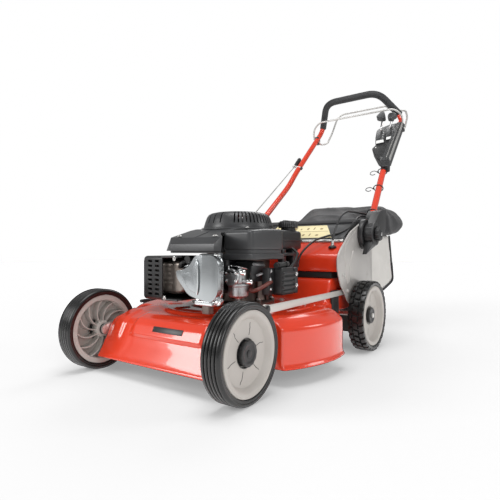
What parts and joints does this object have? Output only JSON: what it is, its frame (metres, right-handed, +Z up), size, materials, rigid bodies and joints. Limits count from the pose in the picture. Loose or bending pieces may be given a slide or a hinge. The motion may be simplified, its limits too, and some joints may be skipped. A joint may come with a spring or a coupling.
{
  "type": "walk-behind lawn mower",
  "caption": "Walk-behind petrol lawn mower with a steel deck, rear grass bag, large wheels, height gear and a folding handle with two bails and a lever panel.",
  "frame": {"origin": "on the ground under the middle of the machine's bounding box", "axes": "+Y to the rear, along the machine's length; +X to its left; +Z up"},
  "size_m": [0.6064, 1.371, 0.9818],
  "materials": {
    "red_paint": "gloss",
    "dark_plastic": "satin",
    "black_plastic": "satin",
    "wheel_plastic": "satin",
    "tyre_rubber": "semi-gloss",
    "soft_rubber": "matte",
    "grip_foam": "matte",
    "cast_aluminium": "satin",
    "dull_castings": "rough",
    "zinc_steel": "satin",
    "steel": "satin",
    "light_fabric": "matte",
    "black_fabric": "matte"
  },
  "bodies": {
    "chassis": {"deck_shell": "red_paint", "rear_cover": "red_paint", "chute_seal": "soft_rubber", "side_plate_left": "zinc_steel", "side_plate_right": "zinc_steel", "angle_disc_left": "black_plastic", "angle_disc_right": "black_plastic", "crankcase": "dull_castings", "cylinder_block": "black_plastic", "cylinder_head_cover": "cast_aluminium", "muffler": "dull_castings", "muffler_guard": "black_plastic", "fan_shroud": "dark_plastic", "recoil_cover": "dark_plastic", "air_cleaner_cover": "dark_plastic", "air_filter": "grip_foam", "carburettor": "cast_aluminium", "fuel_tank": "black_plastic", "evap_canister": "black_plastic", "drive_cable": "soft_rubber", "brake_cable": "soft_rubber", "starter_rope": "grip_foam"},
    "fuel_cap": {"fuel_cap": "black_plastic"},
    "side_discharge_flap": {"side_discharge_flap": "black_plastic"},
    "trail_shield": {"trail_shield": "soft_rubber"},
    "rear_flap": {"rear_flap": "dark_plastic"},
    "crank": {"crankshaft": "steel", "flywheel": "cast_aluminium", "blade": "steel", "blade_adapter": "steel"},
    "front_crank": {"front_crank_axle": "zinc_steel"},
    "front_wheel_left": {"tyre_front_left": "tyre_rubber", "rim_front_left": "wheel_plastic"},
    "front_wheel_right": {"tyre_front_right": "tyre_rubber", "rim_front_right": "wheel_plastic"},
    "rear_crank": {"rear_crank_axle": "zinc_steel", "gearbox": "cast_aluminium", "drive_belt": "soft_rubber"},
    "rear_wheel_left": {"tyre_rear_left": "tyre_rubber", "rim_rear_left": "wheel_plastic"},
    "rear_wheel_right": {"tyre_rear_right": "tyre_rubber", "rim_rear_right": "wheel_plastic"},
    "gearbox_pulley": {"gearbox_pulley": "steel"},
    "height_link": {"height_link": "zinc_steel"},
    "handle": {"handlebar": "red_paint", "grip_foam": "grip_foam", "handle_socket_left": "black_plastic", "handle_socket_right": "black_plastic", "control_panel": "black_plastic", "cable_run": "soft_rubber"},
    "clamp_knob_left": {"clamp_knob_left": "black_plastic"},
    "clamp_knob_right": {"clamp_knob_right": "black_plastic"},
    "throttle_lever": {"throttle_lever": "dark_plastic"},
    "speed_lever": {"speed_lever": "dark_plastic"},
    "brake_bail": {"brake_bail": "zinc_steel"},
    "drive_bail": {"drive_bail": "zinc_steel"},
    "starter_grip": {"starter_grip": "black_plastic"},
    "bag": {"bag_frame": "black_plastic", "bag_body": "light_fabric", "bag_top": "black_fabric"}
  },
  "joints": [
    {"name": "height_adjust", "type": "hinge", "parent": "chassis", "child": "front_crank", "pos_m": [0, -0.51794, 0.114], "axis": [1, 0, 0], "range_deg": [0, 32], "deforming": ["drive_belt"]},
    {"name": "rear_height", "type": "hinge", "parent": "chassis", "child": "rear_crank", "pos_m": [0, 0.08406, 0.118], "axis": [1, 0, 0], "range_deg": [0, 24], "deforming": ["drive_belt"]},
    {"name": "height_link_pivot", "type": "hinge", "parent": "front_crank", "child": "height_link", "pos_m": [0.228, -0.50094, 0.174], "axis": [1, 0, 0], "range_deg": [-32, 0], "deforming": ["drive_belt"]},
    {"name": "front_wheel_left_spin", "type": "hinge", "parent": "front_crank", "child": "front_wheel_left", "pos_m": [0.228, -0.58594, 0.09952], "axis": [1, 0, 0], "continuous": true},
    {"name": "rear_wheel_left_spin", "type": "hinge", "parent": "rear_crank", "child": "rear_wheel_left", "pos_m": [0.267, -0.00294, 0.1035], "axis": [1, 0, 0], "continuous": true},
    {"name": "front_wheel_right_spin", "type": "hinge", "parent": "front_crank", "child": "front_wheel_right", "pos_m": [-0.228, -0.58594, 0.09952], "axis": [1, 0, 0], "continuous": true},
    {"name": "rear_wheel_right_spin", "type": "hinge", "parent": "rear_crank", "child": "rear_wheel_right", "pos_m": [-0.267, -0.00294, 0.1035], "axis": [1, 0, 0], "continuous": true},
    {"name": "crank_spin", "type": "hinge", "parent": "chassis", "child": "crank", "pos_m": [0, -0.29794, 0.2], "axis": [0, 0, 1], "continuous": true, "deforming": ["drive_belt"]},
    {"name": "gearbox_pulley_spin", "type": "hinge", "parent": "rear_crank", "child": "gearbox_pulley", "pos_m": [0.085, 0.02606, 0.117], "axis": [0, 0, 1], "continuous": true, "deforming": ["drive_belt"]},
    {"name": "handle_fold", "type": "hinge", "parent": "chassis", "child": "handle", "pos_m": [0, 0.03406, 0.348], "axis": [1, 0, 0], "range_deg": [0, 100], "deforming": ["drive_cable", "brake_cable", "starter_rope"]},
    {"name": "clamp_knob_left_turn", "type": "hinge", "parent": "handle", "child": "clamp_knob_left", "pos_m": [0.288, 0.03406, 0.348], "axis": [1, 0, 0], "continuous": true},
    {"name": "clamp_knob_right_turn", "type": "hinge", "parent": "handle", "child": "clamp_knob_right", "pos_m": [-0.288, 0.03406, 0.348], "axis": [1, 0, 0], "continuous": true},
    {"name": "throttle_lever_swing", "type": "hinge", "parent": "handle", "child": "throttle_lever", "pos_m": [0.126, 0.58051, 0.77883], "axis": [1, 0, 0], "range_deg": [0, 42]},
    {"name": "speed_lever_swing", "type": "hinge", "parent": "handle", "child": "speed_lever", "pos_m": [0.163, 0.58051, 0.77883], "axis": [1, 0, 0], "range_deg": [0, 42]},
    {"name": "brake_bail_squeeze", "type": "hinge", "parent": "handle", "child": "brake_bail", "pos_m": [0, 0.58606, 0.812], "axis": [1, 0, 0], "range_deg": [0, 20], "stiffness_Nm_per_rad": 0.4, "springref_deg": -45.84},
    {"name": "drive_bail_squeeze", "type": "hinge", "parent": "handle", "child": "drive_bail", "pos_m": [0, 0.58606, 0.826], "axis": [-1, 0, 0], "range_deg": [0, 13], "stiffness_Nm_per_rad": 0.4, "springref_deg": -28.65},
    {"name": "starter_pull", "type": "slide", "parent": "handle", "child": "starter_grip", "axis": [0, 0.5, 0.866], "range_m": [0, 0.45], "deforming": ["drive_cable", "brake_cable", "starter_rope"]},
    {"name": "rear_flap_lift", "type": "hinge", "parent": "chassis", "child": "rear_flap", "pos_m": [0, -0.07894, 0.331], "axis": [1, 0, 0], "range_deg": [0, 55], "deforming": ["drive_cable", "brake_cable", "starter_rope"]},
    {"name": "side_flap_lift", "type": "hinge", "parent": "chassis", "child": "side_discharge_flap", "pos_m": [-0.299, -0.31194, 0.144], "axis": [0, 1, 0], "range_deg": [0, 70], "stiffness_Nm_per_rad": 0.15, "springref_deg": -28.65},
    {"name": "trail_shield_swing", "type": "hinge", "parent": "chassis", "child": "trail_shield", "pos_m": [0, 0.10606, 0.126], "axis": [1, 0, 0], "range_deg": [-15, 30]},
    {"name": "fuel_cap_turn", "type": "hinge", "parent": "chassis", "child": "fuel_cap", "pos_m": [0.112, -0.20994, 0.37], "axis": [0, 0, 1], "range_deg": [0, 90]},
    {"name": "bag_slide", "type": "slide", "parent": "chassis", "child": "bag", "axis": [0, 0.985, 0.1726], "range_m": [0, 0.5], "deforming": ["drive_cable", "brake_cable", "starter_rope"]}
  ],
  "couplings": [
    {"joint": "rear_height", "follows": "height_adjust", "ratio": 0.75},
    {"joint": "height_link_pivot", "follows": "height_adjust", "ratio": -1},
    {"joint": "gearbox_pulley_spin", "follows": "crank_spin", "ratio": 0.8062}
  ]
}
